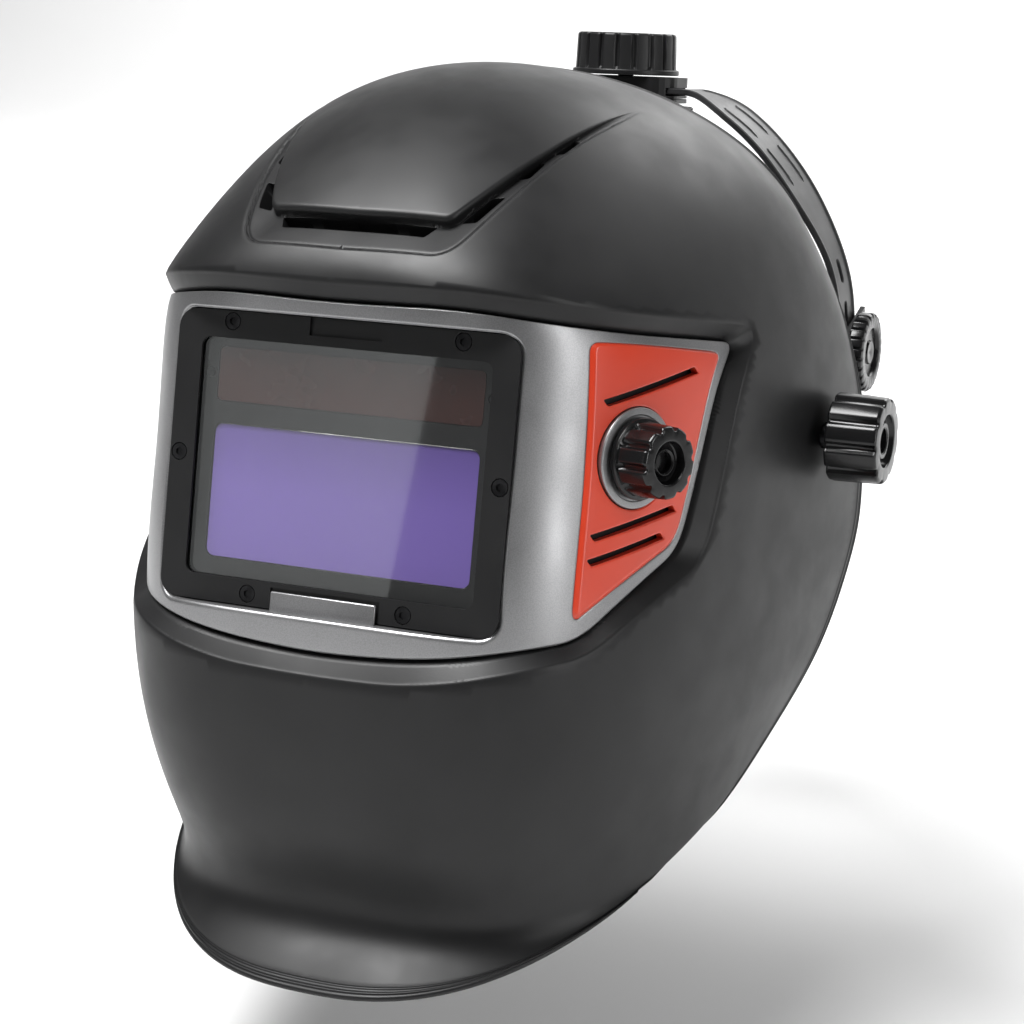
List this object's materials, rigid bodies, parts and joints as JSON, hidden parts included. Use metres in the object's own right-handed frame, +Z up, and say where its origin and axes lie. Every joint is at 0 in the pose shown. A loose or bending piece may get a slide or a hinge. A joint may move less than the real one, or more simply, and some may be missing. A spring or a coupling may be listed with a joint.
{
  "type": "welding helmet",
  "caption": "Flip-up welding helmet with a window filter cartridge, a shade knob on one side and a ratchet headgear with side tension knobs.",
  "frame": {"origin": "midway between the two side pivots, on the axis that the visor tilts about", "axes": "+Z up, -Y is the way the wearer looks, +X is the wearer's left"},
  "size_m": [0.2704, 0.3495, 0.2799],
  "materials": {
    "shell_plastic": "moulded nylon shell, dark charcoal, satin sheen with a fine moulded texture",
    "silver_trim": "silver grey metallic paint, satin",
    "red_plastic": "orange red moulded plastic, satin gloss",
    "gloss_black_plastic": "moulded black plastic, gloss",
    "black_nylon": "moulded black nylon, satin",
    "band_plastic": "flexible black strap plastic, satin",
    "clear_cover": "clear polycarbonate cover sheet",
    "filter_glass": "coated filter glass, violet blue mirror tint",
    "solar_cells": "dark brown solar cell strip with fine lines",
    "dark_steel": "dark oxide steel, satin",
    "pad_foam": "black knitted cloth over foam",
    "cable_rubber": "black cable sheath, matte"
  },
  "bodies": {
    "headgear": {"headband": "band_plastic", "brow_pad": "pad_foam", "rear_strap_left": "band_plastic", "rear_strap_right": "band_plastic", "crown_strap_left": "band_plastic", "crown_strap_right": "band_plastic", "crown_base": "black_nylon", "crown_housing": "black_nylon", "crown_pad": "pad_foam", "rear_base": "black_nylon", "rear_housing": "black_nylon", "rear_pad": "pad_foam"},
    "arms": {"side_arm_left": "band_plastic", "side_arm_right": "band_plastic", "pivot_stud_left": "dark_steel", "pivot_stud_right": "dark_steel", "pivot_spacer_left": "black_nylon", "pivot_spacer_right": "black_nylon"},
    "visor": {"shell": "shell_plastic", "front_trim": "silver_trim", "side_plate": "red_plastic", "shade_knob_ring": "silver_trim", "shade_potentiometer": "dark_steel", "lens_bezel": "black_nylon", "outer_cover_lens": "clear_cover", "filter_cartridge": "black_nylon", "filter_glass": "filter_glass", "solar_panel": "solar_cells", "arc_sensor_left": "gloss_black_plastic", "arc_sensor_right": "gloss_black_plastic", "inner_cover_lens": "clear_cover", "cartridge_retainer": "black_nylon", "battery_cover": "black_nylon", "lens_carrier": "black_nylon", "shade_control_lead": "cable_rubber", "bezel_screw_left_1": "dark_steel", "bezel_screw_right_1": "dark_steel", "bezel_screw_left_2": "dark_steel", "bezel_screw_right_2": "dark_steel", "bezel_screw_left_3": "dark_steel", "bezel_screw_right_3": "dark_steel"},
    "shade_knob": {"shade_knob": "gloss_black_plastic"},
    "tension_knob_left": {"tension_knob_left": "gloss_black_plastic"},
    "tension_knob_right": {"tension_knob_right": "gloss_black_plastic"},
    "side_dial_left": {"side_dial_left": "gloss_black_plastic"},
    "side_dial_right": {"side_dial_right": "gloss_black_plastic"},
    "crown_adjuster": {"crown_knob": "gloss_black_plastic", "crown_pinion": "dark_steel"},
    "crown_rack_left": {"crown_rack_left": "band_plastic"},
    "crown_rack_right": {"crown_rack_right": "band_plastic"},
    "rear_adjuster": {"rear_knob": "gloss_black_plastic", "rear_pinion": "dark_steel"},
    "rear_rack_left": {"rear_rack_left": "band_plastic"},
    "rear_rack_right": {"rear_rack_right": "band_plastic"},
    "sensitivity_knob": {"sensitivity_knob": "gloss_black_plastic"},
    "delay_knob": {"delay_knob": "gloss_black_plastic"},
    "test_button": {"test_button": "gloss_black_plastic"}
  },
  "joints": [
    {"name": "arm_reach", "type": "slide", "parent": "headgear", "child": "arms", "axis": [0, 1, 0], "range_m": [0, 0.006]},
    {"name": "visor_tilt", "type": "hinge", "parent": "arms", "child": "visor", "pos_m": [0, 0, 0], "axis": [-1, 0, 0], "range_deg": [0, 45]},
    {"name": "shade_turn", "type": "hinge", "parent": "visor", "child": "shade_knob", "pos_m": [0.08849, -0.10723, 0.01379], "axis": [0.9209, -0.3835, 0.07], "range_deg": [-140, 140]},
    {"name": "tension_turn_left", "type": "hinge", "parent": "arms", "child": "tension_knob_left", "pos_m": [0.12, 0, 0], "axis": [1, 0, 0], "range_deg": [-180, 180]},
    {"name": "tension_turn_right", "type": "hinge", "parent": "arms", "child": "tension_knob_right", "pos_m": [-0.12, 0, 0], "axis": [-1, 0, 0], "range_deg": [-180, 180]},
    {"name": "side_dial_turn_left", "type": "hinge", "parent": "arms", "child": "side_dial_left", "pos_m": [0.0944, 0.099, 0.009], "axis": [1, 0, 0], "range_deg": [0, 90]},
    {"name": "side_dial_turn_right", "type": "hinge", "parent": "arms", "child": "side_dial_right", "pos_m": [-0.0944, 0.099, 0.009], "axis": [-1, 0, 0], "range_deg": [0, 90]},
    {"name": "crown_turn", "type": "hinge", "parent": "headgear", "child": "crown_adjuster", "pos_m": [0, 0.098, 0.0994], "axis": [0, 0.0872, 0.9962], "range_deg": [-60, 60]},
    {"name": "crown_rack_slide_left", "type": "slide", "parent": "headgear", "child": "crown_rack_left", "axis": [-1, 0, 0], "range_m": [-0.0064, 0.0064]},
    {"name": "crown_rack_slide_right", "type": "slide", "parent": "headgear", "child": "crown_rack_right", "axis": [1, 0, 0], "range_m": [-0.0064, 0.0064]},
    {"name": "rear_turn", "type": "hinge", "parent": "headgear", "child": "rear_adjuster", "pos_m": [0, 0.1505, -0.008], "axis": [0, 1, 0], "range_deg": [-60, 60]},
    {"name": "rear_rack_slide_left", "type": "slide", "parent": "headgear", "child": "rear_rack_left", "axis": [-1, 0, 0], "range_m": [-0.0064, 0.0064]},
    {"name": "rear_rack_slide_right", "type": "slide", "parent": "headgear", "child": "rear_rack_right", "axis": [1, 0, 0], "range_m": [-0.0064, 0.0064]},
    {"name": "sensitivity_turn", "type": "hinge", "parent": "visor", "child": "sensitivity_knob", "pos_m": [-0.038, -0.12269, 0.03517], "axis": [0, -0.977, 0.213], "range_deg": [-135, 135]},
    {"name": "delay_turn", "type": "hinge", "parent": "visor", "child": "delay_knob", "pos_m": [-0.014, -0.12269, 0.03517], "axis": [0, -0.977, 0.213], "range_deg": [-135, 135]},
    {"name": "test_press", "type": "slide", "parent": "visor", "child": "test_button", "axis": [0, -0.977, 0.213], "range_m": [0, 0.001], "stiffness_N_per_m": 800, "springref_m": -0.001}
  ],
  "couplings": [
    {"joint": "crown_rack_slide_left", "follows": "crown_turn", "m_per_rad": 0.006},
    {"joint": "crown_rack_slide_right", "follows": "crown_turn", "m_per_rad": 0.006},
    {"joint": "rear_rack_slide_left", "follows": "rear_turn", "m_per_rad": 0.006},
    {"joint": "rear_rack_slide_right", "follows": "rear_turn", "m_per_rad": 0.006}
  ]
}
